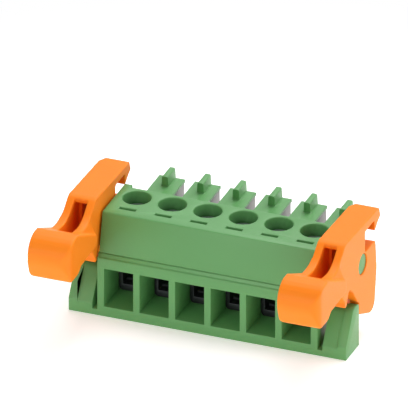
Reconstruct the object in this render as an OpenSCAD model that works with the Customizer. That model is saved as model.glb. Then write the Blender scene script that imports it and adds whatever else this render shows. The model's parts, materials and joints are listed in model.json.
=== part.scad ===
// Pluggable screw terminal block with a lock-and-release lever at each end.
//
// Lengths are in millimetres. X runs along the row of poles, Y from the wire
// side to the plug side and Z up from the resting face. Depths are given from
// the front face of the frame round the wire entries; placed() then moves the
// whole part so that its origin lies on the resting face under the screws.

/* [Row of poles] */
// Number of poles
poles = 6; // [2:1:9]
// Distance between neighbouring poles
pitch = 5.08; // [5:0.02:7.62]

/* [Body] */
// Height of the body over its resting face
body_h = 15; // [14.4:0.1:20]
// Body past the centre line of the outermost pole
end_w = 2.9; // [2.6:0.05:4]
// Wall between the clamp chamber and the plug side
back_wall = 0.5; // [0.4:0.05:1.5]
// Depth at which the upper front face starts
lean_start = 0.4; // [0.2:0.05:1]
// Depth of the upper front face at the top
lean_end = 1.55; // [0.6:0.05:2.4]
// Length of the guide lugs on the plug side's upper corners
lug_l = 0.9; // [0.4:0.1:2]
// Thickness of the guide lugs
lug_w = 1.03; // [0.6:0.05:1.6]
// Height of the guide lugs
lug_h = 5.2; // [2:0.1:8]

/* [Frame round the wire entries] */
// Height of the frame's front face
frame_h = 8.65; // [8.4:0.05:9.2]
// Height of the ledge where the frame meets the upper front
ledge_h = 9.38; // [9.25:0.05:10.5]
// How far the frame stands out past the body's ends
frame_step = 0.15; // [0.05:0.05:0.2]
// Depth over which the frame stands out past the ends
frame_d = 1.6; // [1:0.1:3]
// Radius of the frame's upper edge
frame_r = 0.3; // [0.1:0.05:0.35]
// Depth of the groove between the frame's ledge and the upper front
groove = 0.1; // [0.05:0.01:0.15]

/* [Wire entries] */
// Width of a wire entry
entry_w = 4.15; // [3:0.05:4.4]
// Height of a wire entry
entry_h = 5.7; // [5:0.1:6]
// Height of the sill under the wire entries
sill_h = 1.5; // [1:0.1:2]
// Depth of a wire entry, up to the clamp chamber
entry_d = 4.9; // [4.4:0.1:7]

/* [Top face] */
// Diameter of the screwdriver holes
driver_hole_d = 3.85; // [3.7:0.05:4.4]
// Bevel round the screwdriver holes
driver_bevel = 0.12; // [0.05:0.01:0.3]
// Width of the test slots
test_w = 2.4; // [1:0.1:3]
// Depth of the test slots, front to back
test_d = 0.6; // [0.3:0.05:0.9]
// Distance from the test slots to the screws, front to back
test_to_screw = 3.44; // [3.1:0.02:4]

/* [Plug towers] */
// Width of a tower
tower_w = 3.73; // [3.4:0.01:4.4]
// Length of a tower from the body
tower_l = 10.75; // [9:0.05:13]
// Height of the towers' undersides
tower_z = 5; // [3:0.1:6.5]
// Height of the towers' top faces
tower_top = 11.5; // [10.5:0.1:12.8]
// Thickness of a tower's roof
tower_roof = 0.45; // [0.3:0.05:1]
// Thickness of a tower's end wall
tower_end = 0.45; // [0.3:0.05:1]
// Side of the square hole for the mating pin
pin_hole = 1.9; // [1.4:0.1:2.4]
// Width of a coding rib
rib_w = 1.03; // [0.6:0.01:1.6]
// Height of a coding rib
rib_h = 1.5; // [0.8:0.1:2.4]
// Length of a coding rib
rib_l = 2.85; // [1.5:0.05:6]

/* [Lever brackets] */
// Width of a bracket
bracket_w = 3.4; // [2.6:0.05:3.45]
// Depth of a bracket
bracket_d = 4.84; // [4.6:0.02:5]
// Height of a bracket
bracket_h = 6.4; // [5.6:0.05:6.5]
// Height of a bracket's upright front edge
bracket_toe = 1.9; // [1:0.1:3]
// Slot between the frame and a bracket
bracket_slot = 0.7; // [0.4:0.05:1.2]
// Height of the slot's floor
bracket_floor = 0.9; // [0.5:0.05:2]
// Width of the raised outer strip on a bracket's slope
strip_w = 1.25; // [0.5:0.05:2]
// How far the outer strip is raised
strip_t = 0.15; // [0.05:0.01:0.3]

/* [Lever pivots] */
// Radius of a pivot pin
pivot_r = 1.42; // [1:0.02:1.8]
// Radial clearance of a lever on its pin
pivot_gap = 0.08; // [0.04:0.01:0.1]
// Depth of the pivot line
pivot_y = 6.3; // [6:0.05:6.6]
// Height of the pivot line
pivot_z = 11.5; // [11:0.05:12]
// How far a pin's end lies inside the lever's outer face
pivot_sunk = 0.15; // [0.05:0.05:0.5]

/* [Levers] */
// Width of a lever's arm and cheeks
lever_w = 3.96; // [3.4:0.02:4.4]
// Gap between a lever and the body's end
lever_gap = 0.27; // [0.25:0.01:0.5]
// Width of the thumb tab
tab_w = 5.98; // [4.8:0.02:7]
// Thickness of a lever's cheeks
cheek_t = 1.42; // [1:0.02:1.6]
// Width of the pocket in the lever's front slope
pocket_w = 1.87; // [1:0.01:2.4]
// Height of the pocket's floor
pocket_floor = 12.6; // [12.4:0.05:14]
// How far the thumb tab reaches out in front of the body
tab_reach = 12.75; // [11.6:0.05:15]
// Gap between the thumb tab and the body's front
tab_back = 2.2; // [2:0.05:3]
// Height of the thumb tab's crest
tab_top = 16.9; // [16.4:0.05:18]
// Height of the arm's brow
brow_z = 17.65; // [17.2:0.05:18.5]
// Height of the arm's far end
arm_top = 17.05; // [16.6:0.05:17.6]
// Depth of the arm's far end
arm_l = 12.35; // [11.4:0.05:13]
// Upper edge of the latch throat
throat_top = 15.95; // [15.4:0.05:16.1]
// Lower edge of the latch throat
throat_floor = 12.8; // [12:0.05:13.4]
// Depth at which the latch throat starts
throat_y = 7.2; // [6.4:0.05:8.5]
// Height of the latch hook's tip
hook_z = 14.2; // [13.8:0.05:14.8]
// Depth of the latch hook's tip
hook_y = 10.65; // [10:0.05:11.2]
// Height of the lip in front of the bracket
lip_z = 8.1; // [7.6:0.05:8.6]
// Height of the foot behind the bracket
foot_z = 2.1; // [1.6:0.1:3]
// Thickness of the lip, front to back
lip_d = 0.7; // [0.4:0.05:1]
// Gap between a lever and the bracket that stops it
stop_gap = 0.12; // [0.05:0.01:0.3]
// Radius of a lever's moulded edges
lever_r = 0.3; // [0.1:0.05:0.35]

/* [Clamps] */
// Width of a clamp cage
cage_w = 3.76; // [3.3:0.02:3.8]
// Depth of a clamp cage
cage_d = 3.5; // [3.3:0.05:4]
// Thickness of a cage's side walls
cage_wall = 0.55; // [0.4:0.05:0.7]
// Thickness of a cage's floor, which lifts the wire
cage_floor = 0.95; // [0.6:0.05:1.2]
// Thickness of a cage's threaded top
cage_top = 1.3; // [1:0.05:1.6]
// Gap round a cage in its chamber
cage_gap = 0.15; // [0.08:0.01:0.18]
// Upward travel of a cage, from open to clamped
travel = 2.75; // [2:0.05:2.9]
// Height of the pressing ridge on a cage's floor
ridge_h = 0.25; // [0.1:0.05:0.4]

/* [Screws] */
// Thread diameter of a clamp screw
screw_d = 3; // [2.4:0.1:3.2]
// Radial clearance of a screw in its cage
thread_gap = 0.05; // [0.02:0.01:0.08]
// Diameter of a screw's head
head_d = 3.5; // [3.3:0.05:3.6]
// Height of a screw's head
head_h = 1; // [0.8:0.05:1.3]
// Width of a screw's slot
slot_w = 0.7; // [0.4:0.05:1]
// Depth of a screw's slot
slot_h = 0.55; // [0.3:0.05:0.7]
// Height of the point under a screw's thread
point_h = 0.4; // [0.2:0.05:0.8]
// Gap under a screw's point
point_gap = 0.02; // [0.01:0.01:0.1]
// Gap between a fully raised cage and the screw's head
head_gap = 0.1; // [0.05:0.01:0.3]

/* [Contacts] */
// Width of the bar that the wire is clamped to
bar_w = 2.4; // [1.6:0.05:2.5]
// Thickness of the bar
bar_t = 0.7; // [0.5:0.05:0.8]
// Gap between the wire entry's roof and the bar
bar_gap = 0.1; // [0.05:0.01:0.3]
// Sheet thickness of a contact's box
sheet_t = 0.3; // [0.2:0.05:0.4]
// Gap round a contact in its tower
contact_gap = 0.1; // [0.05:0.01:0.2]
// How far a contact lies inside the tower's sides
contact_sunk = 0.15; // [0.1:0.05:0.3]
// Gap between the two springs where they grip the pin
grip_gap = 0.7; // [0.4:0.05:1]
// Distance from the grip to the springs' free ends
grip_back = 1.7; // [1:0.1:2.4]
// How far the springs flare past the grip
grip_flare = 0.4; // [0.2:0.05:0.6]

/* [Hidden] */

$fn = 48;
cut = 0.5;                     // how far a cutting shape runs past a face
arc_steps = 6;                 // straight pieces in a rounded corner
plastic_green = "#6cb06c";
plastic_orange = "#ff8a3c";
plated_steel = "#b9bcc0";
tinned_copper = "#c9c7c0";

// Along the row
function pole_x(i) = (i - (poles + 1) / 2) * pitch;
body_half = pole_x(poles) + end_w;
frame_half = body_half + frame_step;
bracket_in = frame_half + bracket_slot;
bracket_out = bracket_in + bracket_w;
lever_x = body_half + lever_gap + lever_w / 2;

// Front to back
screw_y = entry_d + cage_gap + cage_d / 2;
chamber_d = cage_d + 2 * cage_gap;
body_d = entry_d + chamber_d + back_wall;
tower_back = body_d + tower_l;
test_y = screw_y - test_to_screw;

// Upwards, from the sill to the top of the screw
entry_top = sill_h + entry_h;
bar_z = entry_top + bar_gap;
bar_top = bar_z + bar_t;
cage_z = sill_h + cage_gap;
cage_under = bar_top + cage_gap;       // underside of the cage's threaded top
cage_h = cage_under + cage_top - cage_z;
chamber_w = cage_w + 2 * cage_gap;
chamber_top = cage_z + cage_h + travel + head_gap / 2;
head_z = cage_z + cage_h + travel + head_gap;
window_z = bar_z - contact_gap;
contact_half = tower_w / 2 - contact_sunk;
end_half = contact_half - sheet_t - contact_gap;   // end wall between the contact's sides
window_top = tower_top - tower_roof;
spring_z = bar_top + contact_gap;
spring_top = window_top - 4 * contact_gap;
pin_z = (spring_z + spring_top) / 2;

// ---- Outlines -------------------------------------------------------------

// Corner p between a and b, replaced by an arc of radius r
function unit(v) = v / norm(v);
function arc(a, p, b, r) =
    let (u = unit(a - p),
         w = unit(b - p),
         half = acos(u * w) / 2,
         centre = p + unit(u + w) * r / sin(half),
         start = p + u * r / tan(half) - centre,
         end = p + w * r / tan(half) - centre,
         from = atan2(start.y, start.x),
         turn = (atan2(end.y, end.x) - from + 540) % 360 - 180)
    [for (i = [0:arc_steps])
        centre + r * [cos(from + turn * i / arc_steps), sin(from + turn * i / arc_steps)]];

// Outline through corners [x, y, radius], with the round ones as arcs
function flat(p) = [p.x, p.y];
function rounded(corners) =
    let (n = len(corners))
    [for (i = [0:n - 1])
        let (p = corners[i])
        each p[2] == 0
            ? [flat(p)]
            : arc(flat(corners[(i + n - 1) % n]), flat(p), flat(corners[(i + 1) % n]), p[2])];

// Side outlines are drawn in [depth, height] and extruded along X
module along_x(w) rotate([90, 0, 90]) linear_extrude(w, center = true) children();
module placed() translate([0, -screw_y, 0]) children();
module each_pole() for (i = [1:poles]) translate([pole_x(i), 0, 0]) children();
module both_ends() for (side = [-1, 1]) scale([side, 1, 1]) children();

// Box centred on x = 0, from depth y0 to y1 and height z0 to z1
module slab(w, y0, y1, z0, z1) translate([-w / 2, y0, z0]) cube([w, y1 - y0, z1 - z0]);

// ---- Housing --------------------------------------------------------------

frame_side = [
    [0, 0, 0],
    [0, 1.008 * frame_h, min(frame_r, lean_start / 2)],
    [0.6 * lean_start, 1.02 * frame_h, 0],
    [lean_start, ledge_h, 0],
    [frame_d, ledge_h, 0],
    [frame_d, 0, 0]];

body_side = [
    [lean_start, 0, 0],
    [lean_start, ledge_h, 0],
    [lean_end, body_h, frame_r],
    [body_d, body_h, 0],
    [body_d, 0, 0]];

// The bracket's side outline, with its slope and top lowered by t
function bracket_side(t) = [
    [0, 0, 0],
    [0, bracket_toe - 1.9 * t, 0.2 * bracket_toe],
    [0.62 * (bracket_h - bracket_toe) + 0.56 * t, bracket_h - t, 0.2 * bracket_h],
    [bracket_d, bracket_h - t, 0.1 * bracket_h],
    [bracket_d, 0, 0]];

module bracket() {
    foot_w = bracket_out - body_half + end_w / 4;
    translate([(bracket_in + bracket_out) / 2, 0, 0])
        along_x(bracket_w) polygon(rounded(bracket_side(strip_t)));
    translate([bracket_out - strip_w / 2, 0, 0])
        along_x(strip_w) polygon(rounded(bracket_side(0)));
    // foot that joins the bracket to the body
    translate([bracket_out - foot_w / 2, 0, 0]) slab(foot_w, 0, bracket_d, 0, bracket_floor);
}

module pivot_pin() translate([body_half - end_w / 4, pivot_y, pivot_z]) rotate([0, 90, 0])
    cylinder(r = pivot_r, h = end_w / 4 + lever_gap + lever_w - pivot_sunk);

module guide_lug() translate([body_half - lug_w / 2, 0, 0])
    along_x(lug_w) polygon(rounded([
        [body_d - back_wall, body_h - lug_h, 0],
        [body_d - back_wall, body_h, 0],
        [body_d + lug_l, body_h, lug_l / 3],
        [body_d + lug_l, body_h - lug_h + lug_l, 0]]));

module tower() {
    slab(tower_w, body_d - back_wall / 2, tower_back, tower_z, tower_top);
    // coding rib with sloping sides and a softened top
    translate([0, tower_back, tower_top]) rotate([90, 0, 0]) linear_extrude(rib_l)
        polygon(rounded([
            [-rib_w / 2, -tower_roof / 2, 0],
            [-rib_w / 2, 0, 0],
            [-0.42 * rib_w, rib_h, 0.25 * rib_w],
            [0.42 * rib_w, rib_h, 0.25 * rib_w],
            [rib_w / 2, 0, 0],
            [rib_w / 2, -tower_roof / 2, 0]]));
}

// Everything cut away round one pole
module pole_cuts() {
    chamber_back = entry_d + chamber_d;
    slab(entry_w, -cut, entry_d, sill_h, entry_top);
    slab(chamber_w, entry_d - cut, chamber_back, sill_h, chamber_top);
    // screwdriver hole with a bevelled rim
    translate([0, screw_y, chamber_top - cut]) cylinder(d = driver_hole_d, h = body_h);
    translate([0, screw_y, body_h - driver_bevel])
        cylinder(d1 = driver_hole_d, d2 = driver_hole_d + 4 * driver_bevel, h = 2 * driver_bevel);
    // test slot down to the contact's bar
    slab_at_test();
    // way for the bar, from under the test slot into the tower
    slab(bar_w + 2 * contact_gap, test_y - test_d / 2 - contact_gap, body_d + cut,
         window_z, bar_top + contact_gap);
    // side windows, which the contact fills as far as the tower's end
    slab(tower_w + cut, body_d + back_wall, tower_back - tower_end, window_z, window_top);
    both_ends() translate([(tower_w + cut + 2 * end_half) / 4, 0, 0])
        slab((tower_w + cut) / 2 - end_half, tower_back - tower_end - cut, tower_back + cut,
             window_z, window_top);
    slab(2 * (contact_half + contact_gap), chamber_back - cut, body_d + 2 * back_wall,
         window_z, window_top);
    // square hole for the mating pin, with a stepped lead-in
    slab(pin_hole, tower_back - tower_end - cut, tower_back + cut,
         pin_z - pin_hole / 2, pin_z + pin_hole / 2);
    slab(pin_hole + tower_end / 2, tower_back - tower_end / 2, tower_back + cut,
         pin_z - pin_hole / 2 - tower_end / 4, pin_z + pin_hole / 2 + tower_end / 4);
}

module slab_at_test()
    slab(test_w, test_y - test_d / 2, test_y + test_d / 2, bar_top, body_h + cut);

module housing() color(plastic_green) placed() difference() {
    union() {
        along_x(2 * body_half) polygon(rounded(body_side));
        along_x(2 * frame_half) polygon(rounded(frame_side));
        both_ends() {
            bracket();
            pivot_pin();
            guide_lug();
        }
        each_pole() tower();
    }
    each_pole() pole_cuts();
    along_x(2 * frame_half + cut) translate([lean_start, ledge_h])
        circle(r = groove, $fn = 4);
}

// ---- Levers ---------------------------------------------------------------

// Arm, cheeks, latch hook and lip, seen from the side
arm_side = [
    [-0.52 * tab_reach, 0.79 * brow_z + lever_r / 3, 0],
    [-0.52 * tab_reach, 0.885 * brow_z, 0],
    [-1.5 * tab_back, 0.859 * brow_z, 1.9 * tab_back],
    [-lever_r / 3, brow_z, 0.085 * brow_z],
    [arm_l, arm_top, lever_r],
    [1.045 * arm_l, 0.981 * throat_top, lever_r],
    [1.12 * hook_y, 1.07 * hook_z, lever_r / 3],
    [hook_y, hook_z, 0.4 * lever_r],
    [hook_y, throat_top, lever_r],
    [throat_y, throat_top, lever_r],
    [throat_y, throat_floor, lever_r],
    [1.035 * hook_y, throat_floor, 1.6 * lever_r],
    [1.08 * hook_y, 0.74 * pivot_z, 0.13 * pivot_z],
    [0.985 * hook_y, foot_z, 0.7 * foot_z],
    [bracket_d + stop_gap, 0.71 * bracket_h, lever_r],
    [bracket_d + stop_gap, 0.984 * bracket_h, 0.7 * lever_r],
    [0.868 * bracket_d, 1.086 * bracket_h, 0.7 * lever_r],
    [0.558 * bracket_d, 1.406 * bracket_h, 1.6 * lever_r],
    [0.258 * bracket_d, 1.265 * lip_z, 1.6 * lever_r],
    [lip_d / 2, lip_z, lever_r / 2],
    [-lip_d / 2, lip_z, lever_r / 2],
    [-0.57 * lip_d, 1.093 * lip_z, 0.7 * lever_r],
    [-1.18 * tab_back, 1.47 * lip_z, 0]];

// Thumb tab, seen from the side
tab_side = [
    [-tab_reach, tab_top, 0.21 * tab_reach],
    [-0.716 * tab_reach, tab_top, 0.09 * tab_reach],
    [-tab_back, 0.799 * tab_top, 1.6 * lever_r],
    [-tab_back, 0.695 * tab_top, lever_r],
    [-0.62 * tab_reach, 0.688 * tab_top, 1.6 * lever_r],
    [-0.714 * tab_reach, 0.638 * tab_top, 1.6 * lever_r],
    [-0.93 * tab_reach, 0.644 * tab_top, 2 * lever_r],
    [-tab_reach, 0.799 * tab_top, 0.31 * tab_reach]];

// Arm from above: its far inner corner is cut off on both levers alike
arm_plan = [
    [-lever_w / 2, -tab_reach / 2 - cut, 0],
    [lever_w / 2, -tab_reach / 2 - cut, 0],
    [lever_w / 2, 1.049 * arm_l, lever_r],
    [-lever_w / 4, 1.049 * arm_l, lever_r],
    [-lever_w / 2, 0.903 * arm_l, lever_r]];

// Tab from above: its outer front corner is swept round on both levers alike
tab_plan = [
    [-tab_w / 2, -tab_reach, 0.6 * lever_r],
    [tab_w / 2, -tab_reach, 0.24 * tab_w],
    [tab_w / 2, -tab_back, lever_r],
    [-tab_w / 2, -tab_back, lever_r]];

// Tab from the front: its lower corners are rounded
tab_front = [
    [-tab_w / 2, 0.638 * tab_top, 0.16 * tab_w],
    [tab_w / 2, 0.638 * tab_top, 0.05 * tab_w],
    [tab_w / 2, tab_top + cut, 0],
    [-tab_w / 2, tab_top + cut, 0]];

// Flanks that sweep from the tab's width up to the arm's, seen from the front
flank_front = [
    [-tab_w / 2, 0.72 * tab_top, 0],
    [-tab_w / 2, 0.78 * tab_top, 0],
    [-lever_w / 2, 0.9 * tab_top, 1.5 * lever_w],
    [-lever_w / 2, brow_z + cut, 0],
    [lever_w / 2, brow_z + cut, 0],
    [lever_w / 2, 0.9 * tab_top, 1.5 * lever_w],
    [tab_w / 2, 0.78 * tab_top, 0],
    [tab_w / 2, 0.72 * tab_top, 0]];

// The space between the two cheeks, open at the back and below
hollow_side = [
    [0.08 * tab_reach, throat_top - lever_r / 6, 2 * lever_r],
    [1.014 * throat_y, throat_top - lever_r / 6, 0],
    [1.014 * throat_y, 1.008 * throat_floor, 0],
    [arm_l + cut, 1.008 * throat_floor, 0],
    [arm_l + cut, 0, 0],
    [0.08 * tab_reach, 0, 0]];

// Pocket in the front slope, which runs on under the arm into that space
pocket_side = [
    [0.1 * tab_reach, pocket_floor, 0],
    [0.1 * tab_reach, 0.93 * brow_z, 0],
    [-0.035 * tab_reach, 0.95 * brow_z, 0],
    [-0.035 * tab_reach, brow_z + cut, 0],
    [-0.55 * tab_reach, brow_z + cut, 0],
    [-0.55 * tab_reach, pocket_floor, 1.6 * lever_r]];

// Front outlines are drawn in [x, height] and extruded from depth y0 to y1
module from_front(y0, y1) translate([0, y1, 0]) rotate([90, 0, 0]) linear_extrude(y1 - y0)
    children();

module lever() {
    difference() {
        union() {
            intersection() {
                along_x(lever_w) polygon(rounded(arm_side));
                linear_extrude(brow_z + cut) polygon(rounded(arm_plan));
            }
            intersection() {
                along_x(tab_w) polygon(rounded(tab_side));
                linear_extrude(brow_z + cut) polygon(rounded(tab_plan));
                from_front(-tab_reach - cut, 0) polygon(rounded(tab_front));
            }
            intersection() {
                along_x(tab_w) polygon(rounded(arm_side));
                from_front(-tab_reach / 2, -tab_back) polygon(rounded(flank_front));
            }
        }
        along_x(lever_w - 2 * cheek_t) polygon(rounded(hollow_side));
        along_x(pocket_w) polygon(rounded(pocket_side));
        translate([0, pivot_y, pivot_z]) rotate([0, 90, 0])
            cylinder(r = pivot_r + pivot_gap, h = lever_w + 2 * cut, center = true);
    }
}

module lever_left() color(plastic_orange) placed() translate([-lever_x, 0, 0]) lever();
module lever_right() color(plastic_orange) placed() translate([lever_x, 0, 0]) lever();

// ---- Clamps ---------------------------------------------------------------

// Slotted screw: it turns in place and its cage climbs its thread
module clamp_screw(i) color(plated_steel) placed() translate([pole_x(i), screw_y, 0])
    difference() {
        union() {
            translate([0, 0, head_z]) cylinder(d = head_d, h = head_h);
            translate([0, 0, bar_top + point_gap + point_h])
                cylinder(d = screw_d, h = head_z - bar_top - point_gap - point_h + head_h / 2);
            translate([0, 0, bar_top + point_gap])
                cylinder(d1 = screw_d - point_h * 1.5, d2 = screw_d, h = point_h);
        }
        translate([-head_d / 2 - cut, -slot_w / 2, head_z + head_h - slot_h])
            cube([head_d + 2 * cut, slot_w, slot_h + cut]);
    }

// Open cage of thick sheet: floor, two walls and a threaded top
module clamp_cage(i) color(plated_steel) placed() translate([pole_x(i), 0, 0]) {
    front = screw_y - cage_d / 2;
    back = screw_y + cage_d / 2;
    inner_w = cage_w - 2 * cage_wall;
    difference() {
        rotate([90, 0, 0]) translate([0, 0, -back]) linear_extrude(cage_d)
            polygon(rounded([
                [-cage_w / 2, cage_z, cage_wall],
                [cage_w / 2, cage_z, cage_wall],
                [cage_w / 2, cage_z + cage_h, cage_wall / 2],
                [-cage_w / 2, cage_z + cage_h, cage_wall / 2]]));
        slab(inner_w, front - cut, back + cut, cage_z + cage_floor, cage_under);
        // thread hole, whose tap also grazes the walls as far as the screw reaches
        translate([0, screw_y, cage_under - travel - point_h])
            cylinder(r = screw_d / 2 + thread_gap, h = cage_top + travel + point_h + cut);
    }
    // pressing ridge across the wire
    along_x(inner_w) polygon([
        [screw_y - cage_d / 6, cage_z + cage_floor - ridge_h / 2],
        [screw_y - cage_d / 12, cage_z + cage_floor + ridge_h],
        [screw_y + cage_d / 12, cage_z + cage_floor + ridge_h],
        [screw_y + cage_d / 6, cage_z + cage_floor - ridge_h / 2]]);
}

// ---- Contacts -------------------------------------------------------------

// One spring from above: it leaves the box's side, closes on the pin and flares
module spring(box_half, front, back) {
    grip = back - grip_back;
    x_grip = grip_gap / 2;
    points = [
        [box_half - sheet_t, front],
        [x_grip, grip],
        [x_grip + grip_flare, back],
        [x_grip + grip_flare + sheet_t, back],
        [x_grip + sheet_t, grip],
        [box_half - sheet_t / 2, front + sheet_t]];
    polygon(points);
}

module contact(i) color(tinned_copper) placed() translate([pole_x(i), 0, 0]) {
    box_front = body_d + back_wall + contact_gap;
    box_back = tower_back - tower_end - contact_gap;
    bar_front = test_y - test_d / 2;
    slab(bar_w, bar_front, box_front + cut, bar_z, bar_top);
    slab(2 * contact_half, box_front, box_back, bar_z, bar_top);
    both_ends() {
        translate([contact_half - sheet_t, box_front, bar_z])
            cube([sheet_t, tower_back - contact_gap / 2 - box_front,
                  window_top - contact_gap - bar_z]);
        translate([0, 0, spring_z]) linear_extrude(spring_top - spring_z)
            spring(contact_half, box_front + pin_hole / 2, box_back - contact_gap);
    }
}

// ---- Nodes ----------------------------------------------------------------

housing();
lever_left();
lever_right();
for (i = [1:poles]) {
    clamp_screw(i);
    clamp_cage(i);
    contact(i);
}
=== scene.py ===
"""Dresses a pluggable terminal block: moulded green housing, orange levers and plated metal clamps.

Lengths are in metres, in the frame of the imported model: X along the row of poles, Y from the wire
side to the plug side, Z up from the resting face.
"""

import json
import math

import bmesh
import bpy
from mathutils import Euler, Matrix, Vector


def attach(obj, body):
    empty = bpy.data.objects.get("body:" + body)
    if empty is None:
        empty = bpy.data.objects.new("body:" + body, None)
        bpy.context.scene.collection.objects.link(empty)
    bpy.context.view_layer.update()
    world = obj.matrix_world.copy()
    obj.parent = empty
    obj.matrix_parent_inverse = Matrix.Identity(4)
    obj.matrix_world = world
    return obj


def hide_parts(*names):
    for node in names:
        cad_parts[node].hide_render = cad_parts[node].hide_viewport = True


MM = 0.001
WHITE = "#ffffff"
POLES = range(1, 7)

# Moulded plastic: its refraction, the share of light that enters it, the width over which the
# pigment drifts, the height of the tool's grain, and how far the gloss wanders with the grain
NYLON_IOR = 1.53
SCATTER_SHARE = 0.1
DRIFT_WIDTH = 9 * MM
GRAIN_HEIGHT = 0.02 * MM
GRAIN_GLOSS = 0.05

# Plated metal: the height of its fine marks, how strongly they show, and their effect on gloss
MARK_HEIGHT = 0.01 * MM
MARK_STRENGTH = 0.25
MARK_GLOSS = 0.08

# Meshes: points closer than this are one, and faces within this angle are one flat face
WELD = 0.0005 * MM
FLAT_ANGLE = math.radians(0.4)

# Edges: how wide moulding, tumbling or plating leaves them, in how many steps, and which count
EDGE_WIDTHS = {"housing": 0.07 * MM, "clamp_cage": 0.06 * MM, "contact": 0.04 * MM}
EDGE_STEPS = 2
EDGE_ANGLE = math.radians(35)
SMOOTH_ANGLE = 40
THREAD_ANGLE = 30

# Levers: size of the even mesh, rounds of relaxing all over and in the flowing corner, and the
# stretches across and forwards over which that corner sets in
LEVER_VOXEL = 0.11 * MM
SOFT_ROUNDS = 4
FLOW_ROUNDS = 16
FLOW_ACROSS = (0.2 * MM, 1.6 * MM)
FLOW_FORWARD = (-7.2 * MM, -9.4 * MM)

# Screw sizes, in mm; the length comes from the solid
SCREW_SIZES = {
    "Thread radius": 1.5,
    "Thread depth": 0.27,
    "Thread pitch": 0.5,
    "Head radius": 1.75,
    "Head height": 1.0,
    "Head chamfer": 0.15,
    "Slot width": 0.7,
    "Slot depth": 0.55,
    "Point height": 0.4,
}
TURNED_SIDES = 48
HELIX_STEPS = 32
POINT_TAPER = 0.5

# Camera: its angles in degrees, the width it takes in, the point it looks at and how far off
VIEW_AZIMUTH = 21.17
VIEW_ELEVATION = 28.4
VIEW_WIDTH = 54.42 * MM
VIEW_CENTRE = (-0.463 * MM, -6.8 * MM, 19.84 * MM)
VIEW_DISTANCE = 0.4

# Studio: the tent's light, the paper's own brightness to the camera and to other rays, the
# paper's size, its place under the part, and the stretch over which it turns to plain white
TENT_LEVEL = 0.3
PAPER_LIFT = 0.35
PAPER_FILL = 0.4
FLOOR_SIZE = 3.0
FLOOR_DROP = 0.02 * MM
FADE_FROM = 35 * MM
FADE_TO = 90 * MM

# Softboxes: direction, distance, size and level
SOFTBOXES = {
    "overhead_softbox": ((0.1, 0.5, 1.0), 0.6, 0.5, 0.95),
    "side_softbox": ((1.0, 0.1, 0.4), 0.7, 0.4, 0.25),
    "front_softbox": ((-0.15, -1.0, 0.33), 0.7, 0.3, 0.28),
}

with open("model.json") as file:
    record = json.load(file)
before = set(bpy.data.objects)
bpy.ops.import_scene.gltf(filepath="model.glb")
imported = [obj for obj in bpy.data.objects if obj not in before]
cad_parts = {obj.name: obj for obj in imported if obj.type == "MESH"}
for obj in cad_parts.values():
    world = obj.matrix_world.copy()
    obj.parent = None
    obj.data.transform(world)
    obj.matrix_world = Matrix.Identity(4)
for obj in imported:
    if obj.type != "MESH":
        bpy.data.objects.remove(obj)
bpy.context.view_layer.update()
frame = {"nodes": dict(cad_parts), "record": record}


# ---- Colours and nodes ------------------------------------------------------


def linear(code):
    """A colour written as an sRGB hex value, turned to linear RGBA."""
    channels = [int(code[i : i + 2], 16) / 255 for i in (1, 3, 5)]
    return [c / 12.92 if c <= 0.04045 else ((c + 0.055) / 1.055) ** 2.4 for c in channels] + [1]


def add(tree, kind, inputs=None, **settings):
    """Adds a node with its settings; each input takes a value or is linked from a socket."""
    node = tree.nodes.new(kind)
    for name, value in settings.items():
        setattr(node, name, value)
    for key, value in (inputs or {}).items():
        if isinstance(value, bpy.types.NodeSocket):
            tree.links.new(value, node.inputs[key])
        else:
            node.inputs[key].default_value = value
    return node


def new_material(name):
    """An empty material and its node tree."""
    material = bpy.data.materials.new(name)
    material.use_nodes = True
    material.node_tree.nodes.clear()
    return material, material.node_tree


def finish_material(tree, shader):
    add(tree, "ShaderNodeOutputMaterial", {"Surface": shader})


# ---- Finishes ---------------------------------------------------------------


def moulded_polyamide(
    name, colour, deep_colour, roughness, sheen, grain_mm, grain_depth, scatter_mm, scatter_rgb
):
    """Injection-moulded polyamide. Spark erosion leaves the tool's skin finely grained, which
    breaks up the gloss; the pigment drifts a little where the melt flowed; and the resin lets
    a little light in, so that edges glow and hollows stay saturated."""
    material, tree = new_material(name)
    place = add(tree, "ShaderNodeTexCoord").outputs["Object"]
    flow = add(
        tree,
        "ShaderNodeTexNoise",
        {"Vector": place, "Scale": 1 / DRIFT_WIDTH, "Detail": 3, "Roughness": 0.45},
    )
    pigment = add(
        tree,
        "ShaderNodeMix",
        {"Factor": flow.outputs["Fac"], "A": linear(deep_colour), "B": linear(colour)},
        data_type="RGBA",
    )
    grain = add(
        tree,
        "ShaderNodeTexNoise",
        {"Vector": place, "Scale": 1 / (grain_mm * MM), "Detail": 2, "Roughness": 0.6},
    )
    gloss = add(
        tree,
        "ShaderNodeMapRange",
        {
            "Value": grain.outputs["Fac"],
            "From Min": 0.3,
            "From Max": 0.7,
            "To Min": roughness - GRAIN_GLOSS,
            "To Max": roughness + GRAIN_GLOSS,
        },
    )
    skin = add(
        tree,
        "ShaderNodeBump",
        {"Height": grain.outputs["Fac"], "Strength": grain_depth, "Distance": GRAIN_HEIGHT},
    )
    shader = add(
        tree,
        "ShaderNodeBsdfPrincipled",
        {
            "Base Color": pigment.outputs["Result"],
            "Roughness": gloss.outputs["Result"],
            "IOR": NYLON_IOR,
            "Subsurface Weight": SCATTER_SHARE,
            "Specular IOR Level": sheen,
            "Subsurface Scale": scatter_mm * MM,
            "Subsurface Radius": scatter_rgb,
            "Normal": skin.outputs["Normal"],
        },
    )
    finish_material(tree, shader.outputs["BSDF"])
    return material


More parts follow.
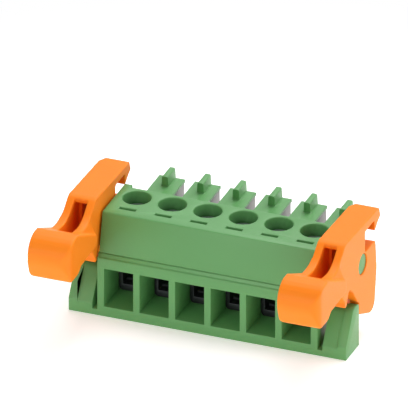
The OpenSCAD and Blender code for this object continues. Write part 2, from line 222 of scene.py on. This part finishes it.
def plated_metal(name, colour, shade_colour, roughness, streak_mm, stretch):
    """Metal with a thin electroplated coat: a grey, softly glossy skin that is a little uneven in
    tone, with fine marks of rolling or turning under it."""
    material, tree = new_material(name)
    place = add(tree, "ShaderNodeTexCoord").outputs["Object"]
    along = add(tree, "ShaderNodeMapping", {"Vector": place, "Scale": stretch})
    streaks = add(
        tree,
        "ShaderNodeTexNoise",
        {"Vector": along.outputs["Vector"], "Scale": 1 / (streak_mm * MM), "Detail": 3},
    )
    coat = add(
        tree,
        "ShaderNodeMix",
        {"Factor": streaks.outputs["Fac"], "A": linear(shade_colour), "B": linear(colour)},
        data_type="RGBA",
    )
    gloss = add(
        tree,
        "ShaderNodeMapRange",
        {
            "Value": streaks.outputs["Fac"],
            "To Min": roughness - MARK_GLOSS,
            "To Max": roughness + MARK_GLOSS,
        },
    )
    marks = add(
        tree,
        "ShaderNodeBump",
        {
            "Height": streaks.outputs["Fac"],
            "Strength": MARK_STRENGTH,
            "Distance": MARK_HEIGHT,
        },
    )
    shader = add(
        tree,
        "ShaderNodeBsdfPrincipled",
        {
            "Base Color": coat.outputs["Result"],
            "Metallic": 1.0,
            "Roughness": gloss.outputs["Result"],
            "Normal": marks.outputs["Normal"],
        },
    )
    finish_material(tree, shader.outputs["BSDF"])
    return material


FINISHES = {
    "housing": moulded_polyamide(
        "moulded_green_polyamide",
        colour="#609b5c",
        deep_colour="#5b9657",
        roughness=0.42,
        sheen=0.35,
        grain_mm=0.12,
        grain_depth=0.35,
        scatter_mm=0.3,
        scatter_rgb=(0.6, 1.0, 0.5),
    ),
    "lever": moulded_polyamide(
        "moulded_orange_polyamide",
        colour="#fd8818",
        deep_colour="#fb8316",
        roughness=0.48,
        sheen=0.2,
        grain_mm=0.16,
        grain_depth=0.25,
        scatter_mm=0.4,
        scatter_rgb=(1.0, 0.3, 0.1),
    ),
    # turned screws with a bluish zinc plating
    "clamp_screw": plated_metal(
        "zinc_plated_steel",
        colour="#b9bcc0",
        shade_colour="#9ea2a8",
        roughness=0.34,
        streak_mm=0.25,
        stretch=(1.0, 1.0, 6.0),
    ),
    # folded zinc-plated cages, coloured dark grey as painted shade for their place deep in the wire
    # entries
    "clamp_cage": plated_metal(
        "zinc_cage_darkened_as_painted_shade",
        colour="#4b4d4f",
        shade_colour="#3a3c3e",
        roughness=0.55,
        streak_mm=0.3,
        stretch=(1.0, 4.0, 1.0),
    ),
    # stamped contacts with a dull tin plating, rolled along their length
    "contact": plated_metal(
        "tin_plated_copper",
        colour="#8f8e8a",
        shade_colour="#7c7b77",
        roughness=0.5,
        streak_mm=0.2,
        stretch=(6.0, 0.8, 6.0),
    ),
}


# ---- Pieces -----------------------------------------------------------------


def body_of(node):
    """The name of the moving body that the node belongs to."""
    bodies = frame["record"]["behaviour"]["bodies"]
    return next(body for body, members in bodies.items() if node in members)


def new_piece(name, mesh):
    piece = bpy.data.objects.new(name, mesh)
    bpy.context.scene.collection.objects.link(piece)
    return piece


def clean_copy(name, node):
    """The node's solid as a mesh of its own, with its loose triangles joined into flat faces."""
    mesh = frame["nodes"][node].data.copy()
    mesh.name = name
    mesh.materials.clear()
    work = bmesh.new()
    work.from_mesh(mesh)
    bmesh.ops.remove_doubles(work, verts=work.verts, dist=WELD)
    bmesh.ops.dissolve_limit(work, angle_limit=FLAT_ANGLE, verts=work.verts, edges=work.edges)
    work.to_mesh(mesh)
    work.free()
    return new_piece(name, mesh)


def apply_modifiers(piece):
    """Turns the piece with its modifiers into a plain mesh."""
    bpy.context.view_layer.update()
    evaluated = piece.evaluated_get(bpy.context.evaluated_depsgraph_get())
    piece.modifiers.clear()
    piece.data = bpy.data.meshes.new_from_object(evaluated)


def shade_smooth(mesh, angle):
    """Smooth faces, with edges sharper than the angle, in degrees, kept crisp."""
    mesh.shade_smooth()
    mesh.set_sharp_from_angle(angle=math.radians(angle))


def finish_of(node):
    """The finish of the node's kind."""
    return next(finish for kind, finish in FINISHES.items() if node.startswith(kind))


def seat(piece, node):
    """The piece takes the node's finish, rides on its body and stands for it."""
    piece.data.materials.clear()
    piece.data.materials.append(finish_of(node))
    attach(piece, body_of(node))
    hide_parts(node)


def eased(name, node, width):
    """A copy of the node whose edges are eased, as moulding, tumbling or plating leaves them."""
    piece = clean_copy(name, node)
    bevel = piece.modifiers.new("edges", "BEVEL")
    bevel.width = width
    bevel.segments = EDGE_STEPS
    bevel.limit_method = "ANGLE"
    bevel.angle_limit = EDGE_ANGLE
    bevel.use_clamp_overlap = False
    apply_modifiers(piece)
    shade_smooth(piece.data, SMOOTH_ANGLE)
    return piece


def relax(piece, rounds, where=""):
    """Lets the surface settle, in the named vertex group only or all over."""
    settle = piece.modifiers.new("settle", "SMOOTH")
    settle.factor = 0.5
    settle.iterations = rounds
    settle.vertex_group = where
    apply_modifiers(piece)


def ramp(value, low, high):
    """0 below low, 1 above high and a soft slope between; low may be the larger."""
    share = min(max((value - low) / (high - low), 0.0), 1.0)
    return share * share * (3 - 2 * share)


def moulded_lever(side):
    """The lever with every edge softly rounded: a fine even mesh, relaxed, and relaxed further
    where the tab's outer front corner and flank flow into one another."""
    node = f"lever_{side}"
    piece = clean_copy(f"{node}_moulding", node)
    remesh = piece.modifiers.new("even", "REMESH")
    remesh.mode = "VOXEL"
    remesh.voxel_size = LEVER_VOXEL
    relax(piece, SOFT_ROUNDS)
    xs = [v.co.x for v in piece.data.vertices]
    middle = (min(xs) + max(xs)) / 2
    flowing = piece.vertex_groups.new(name="flowing")
    for vertex in piece.data.vertices:
        across = ramp(vertex.co.x - middle, *FLOW_ACROSS)
        forward = ramp(vertex.co.y, *FLOW_FORWARD)
        flowing.add([vertex.index], across * forward, "REPLACE")
    relax(piece, FLOW_ROUNDS, "flowing")
    piece.data.shade_smooth()
    return piece


# ---- Screws -----------------------------------------------------------------


def maths(tree, operation, a, b):
    """The result of one operation on two values or sockets."""
    return add(tree, "ShaderNodeMath", {0: a, 1: b}, operation=operation).outputs[0]


def raised(tree, geometry, height):
    """The geometry moved up by a height."""
    up = add(tree, "ShaderNodeCombineXYZ", {"Z": height}).outputs[0]
    return add(
        tree, "GeometryNodeTransform", {"Geometry": geometry, "Translation": up}
    ).outputs["Geometry"]


def turned(tree, low_radius, high_radius, height, base):
    """A turned stretch of the screw, from one radius to another, standing at its base."""
    cone = add(
        tree,
        "GeometryNodeMeshCone",
        {
            "Vertices": TURNED_SIDES,
            "Radius Top": high_radius,
            "Radius Bottom": low_radius,
            "Depth": height,
        },
    )
    return raised(tree, cone.outputs["Mesh"], base)


def slotted_screw_tree():
    """Slotted screw on its point at z = 0: helical thread, chamfered head and driver slot."""
    tree = bpy.data.node_groups.new("slotted_screw", "GeometryNodeTree")
    tree.interface.new_socket("Geometry", in_out="OUTPUT", socket_type="NodeSocketGeometry")
    for name in ("Length", *SCREW_SIZES):
        tree.interface.new_socket(name, in_out="INPUT", socket_type="NodeSocketFloat")
    tree.interface.new_socket("Finish", in_out="INPUT", socket_type="NodeSocketMaterial")
    size = add(tree, "NodeGroupInput").outputs
    root = maths(tree, "SUBTRACT", size["Thread radius"], size["Thread depth"])
    head_base = maths(tree, "SUBTRACT", size["Length"], size["Head height"])
    thread_l = maths(tree, "SUBTRACT", head_base, size["Point height"])

    # thread: a square wire on edge, wound round the shank so that half of it stands out
    helix = add(
        tree,
        "GeometryNodeCurveSpiral",
        {
            "Resolution": HELIX_STEPS,
            "Rotations": maths(tree, "DIVIDE", thread_l, size["Thread pitch"]),
            "Start Radius": root,
            "End Radius": root,
            "Height": thread_l,
        },
    )
    upright = add(
        tree, "GeometryNodeSetCurveNormal", {"Curve": helix.outputs["Curve"]}, mode="Z_UP"
    )
    ridge = add(
        tree,
        "GeometryNodeCurvePrimitiveCircle",
        {"Resolution": 4, "Radius": size["Thread depth"]},
    )
    thread = add(
        tree,
        "GeometryNodeCurveToMesh",
        {
            "Curve": upright.outputs["Curve"],
            "Profile Curve": ridge.outputs["Curve"],
            "Fill Caps": True,
        },
    )
    point_r = maths(tree, "MULTIPLY", root, POINT_TAPER)
    point = turned(tree, point_r, root, size["Point height"], 0.0)
    shank = turned(tree, root, root, thread_l, size["Point height"])

    # head: a disc with a chamfered rim, cut by the slot
    disc_h = maths(tree, "SUBTRACT", size["Head height"], size["Head chamfer"])
    rim_r = maths(tree, "SUBTRACT", size["Head radius"], size["Head chamfer"])
    disc = turned(tree, size["Head radius"], size["Head radius"], disc_h, head_base)
    chamfer_base = maths(tree, "ADD", head_base, disc_h)
    rim = turned(tree, size["Head radius"], rim_r, size["Head chamfer"], chamfer_base)
    blank = add(tree, "GeometryNodeMeshBoolean", {"Mesh 2": disc}, operation="UNION")
    tree.links.new(rim, blank.inputs["Mesh 2"])

    # the slot's cutter passes the head on both sides and is centred on its top
    across = maths(tree, "MULTIPLY", size["Head radius"], 3.0)
    deep = maths(tree, "MULTIPLY", size["Slot depth"], 2.0)
    cutter_size = add(
        tree, "ShaderNodeCombineXYZ", {"X": across, "Y": size["Slot width"], "Z": deep}
    )
    cutter = add(tree, "GeometryNodeMeshCube", {"Size": cutter_size.outputs[0]})
    head = add(
        tree,
        "GeometryNodeMeshBoolean",
        {
            "Mesh 1": blank.outputs["Mesh"],
            "Mesh 2": raised(tree, cutter.outputs["Mesh"], size["Length"]),
        },
        operation="DIFFERENCE",
    )

    whole = add(tree, "GeometryNodeJoinGeometry", {"Geometry": head.outputs["Mesh"]})
    for part in (shank, point, raised(tree, thread.outputs["Mesh"], size["Point height"])):
        tree.links.new(part, whole.inputs["Geometry"])
    real = add(tree, "GeometryNodeRealizeInstances", {"Geometry": whole.outputs["Geometry"]})
    finished = add(
        tree,
        "GeometryNodeSetMaterial",
        {"Geometry": real.outputs["Geometry"], "Material": size["Finish"]},
    )
    add(tree, "NodeGroupOutput", {"Geometry": finished.outputs["Geometry"]})
    return tree


def threaded_screw(name, node, tree):
    """The node's screw with its thread, built by the screw tree where the solid stands."""
    corners = [v.co for v in frame["nodes"][node].data.vertices]
    low = Vector([min(c[axis] for c in corners) for axis in range(3)])
    high = Vector([max(c[axis] for c in corners) for axis in range(3)])
    piece = new_piece(name, bpy.data.meshes.new(name))
    build = piece.modifiers.new("screw", "NODES")
    build.node_group = tree
    values = {"Length": high.z - low.z, **{k: v * MM for k, v in SCREW_SIZES.items()}}
    values["Finish"] = finish_of(node)
    for socket in tree.interface.items_tree:
        if socket.in_out == "INPUT":
            build[socket.identifier] = values[socket.name]
    apply_modifiers(piece)
    centre = (low + high) / 2
    piece.data.transform(Matrix.Translation((centre.x, centre.y, low.z)))
    shade_smooth(piece.data, THREAD_ANGLE)
    return piece


# ---- Scene ------------------------------------------------------------------


def softbox(name, towards, distance, size, level):
    """A square white lamp that looks at the part from a direction. Its level is the share of a
    white surface's brightness that it gives to a face turned to it."""
    data = bpy.data.lights.new(name, "AREA")
    data.shape = "SQUARE"
    data.size = size
    data.energy = level * (math.pi * distance) ** 2
    light = bpy.data.objects.new(name, data)
    light.location = Vector(towards).normalized() * distance
    light.rotation_euler = light.location.to_track_quat("Z", "Y").to_euler()
    bpy.context.scene.collection.objects.link(light)


def studio():
    """Even light from all round, a white sweep, and softboxes above, beside and in front."""
    world = bpy.data.worlds.new("white_tent")
    world.use_nodes = True
    tree = world.node_tree
    tree.nodes.clear()
    ray = add(tree, "ShaderNodeLightPath").outputs
    seen = maths(tree, "MAXIMUM", ray["Is Camera Ray"], ray["Is Glossy Ray"])
    seen = maths(tree, "MAXIMUM", seen, ray["Is Transmission Ray"])
    strength = add(
        tree, "ShaderNodeMapRange", {"Value": seen, "To Min": TENT_LEVEL, "To Max": 1.0}
    )
    tent = add(
        tree,
        "ShaderNodeBackground",
        {"Color": linear(WHITE), "Strength": strength.outputs["Result"]},
    )
    add(tree, "ShaderNodeOutputWorld", {"Surface": tent.outputs["Background"]})
    bpy.context.scene.world = world

    floor = new_piece("floor", bpy.data.meshes.new("floor"))
    half = FLOOR_SIZE / 2
    corners = [(-half, -half, 0), (half, -half, 0), (half, half, 0), (-half, half, 0)]
    floor.data.from_pydata(corners, [], [(0, 1, 2, 3)])
    floor.location.z = -FLOOR_DROP
    floor.data.materials.append(white_sweep())

    for name, (towards, distance, size, level) in SOFTBOXES.items():
        softbox(name, towards, distance, size, level)


def white_sweep():
    """Matt white paper: to the camera it takes the part's shadow and fades to plain white
    further out, and to the part it is a bright surface that fills the shadows from below."""
    material, tree = new_material("white_paper_sweep")
    place = add(tree, "ShaderNodeTexCoord").outputs["Object"]
    reach = add(tree, "ShaderNodeVectorMath", {0: place}, operation="LENGTH")
    away = add(
        tree,
        "ShaderNodeMapRange",
        {"Value": reach.outputs["Value"], "From Min": FADE_FROM, "From Max": FADE_TO},
        interpolation_type="SMOOTHSTEP",
    )
    paper = add(tree, "ShaderNodeBsdfDiffuse", {"Color": linear(WHITE)})
    glow = add(tree, "ShaderNodeEmission", {"Color": linear(WHITE), "Strength": 1.0})
    lift = add(tree, "ShaderNodeEmission", {"Color": linear(WHITE), "Strength": PAPER_LIFT})
    lit = add(tree, "ShaderNodeAddShader", {0: paper.outputs[0], 1: lift.outputs[0]})
    fill = add(tree, "ShaderNodeEmission", {"Color": linear(WHITE), "Strength": PAPER_FILL})
    bounce = add(tree, "ShaderNodeAddShader", {0: paper.outputs[0], 1: fill.outputs[0]})
    faded = add(
        tree,
        "ShaderNodeMixShader",
        {"Fac": away.outputs["Result"], 1: lit.outputs[0], 2: glow.outputs[0]},
    )
    ray = add(tree, "ShaderNodeLightPath").outputs
    seen = add(
        tree,
        "ShaderNodeMixShader",
        {"Fac": ray["Is Camera Ray"], 1: bounce.outputs[0], 2: faded.outputs[0]},
    )
    finish_material(tree, seen.outputs[0])
    return material


def camera():
    """Long-lens view from the front right and above, with no perspective."""
    data = bpy.data.cameras.new("camera")
    data.type = "ORTHO"
    data.ortho_scale = VIEW_WIDTH
    data.clip_start = 0.01
    data.clip_end = 10
    turn = Euler((math.radians(90 - VIEW_ELEVATION), 0, math.radians(VIEW_AZIMUTH)))
    eye = bpy.data.objects.new("camera", data)
    eye.rotation_euler = turn
    eye.location = Vector(VIEW_CENTRE) + turn.to_matrix() @ Vector((0, 0, VIEW_DISTANCE))
    bpy.context.scene.collection.objects.link(eye)
    bpy.context.scene.camera = eye


camera()
studio()

seat(eased("housing_moulding", "housing", EDGE_WIDTHS["housing"]), "housing")
for side in ("left", "right"):
    seat(moulded_lever(side), f"lever_{side}")
for pole in POLES:
    for kind in ("clamp_cage", "contact"):
        node = f"{kind}_{pole}"
        seat(eased(f"{node}_finished", node, EDGE_WIDTHS[kind]), node)
screw_tree = slotted_screw_tree()
for pole in POLES:
    node = f"clamp_screw_{pole}"
    seat(threaded_screw(f"{node}_finished", node, screw_tree), node)

bpy.context.scene.view_settings.view_transform = "Standard"
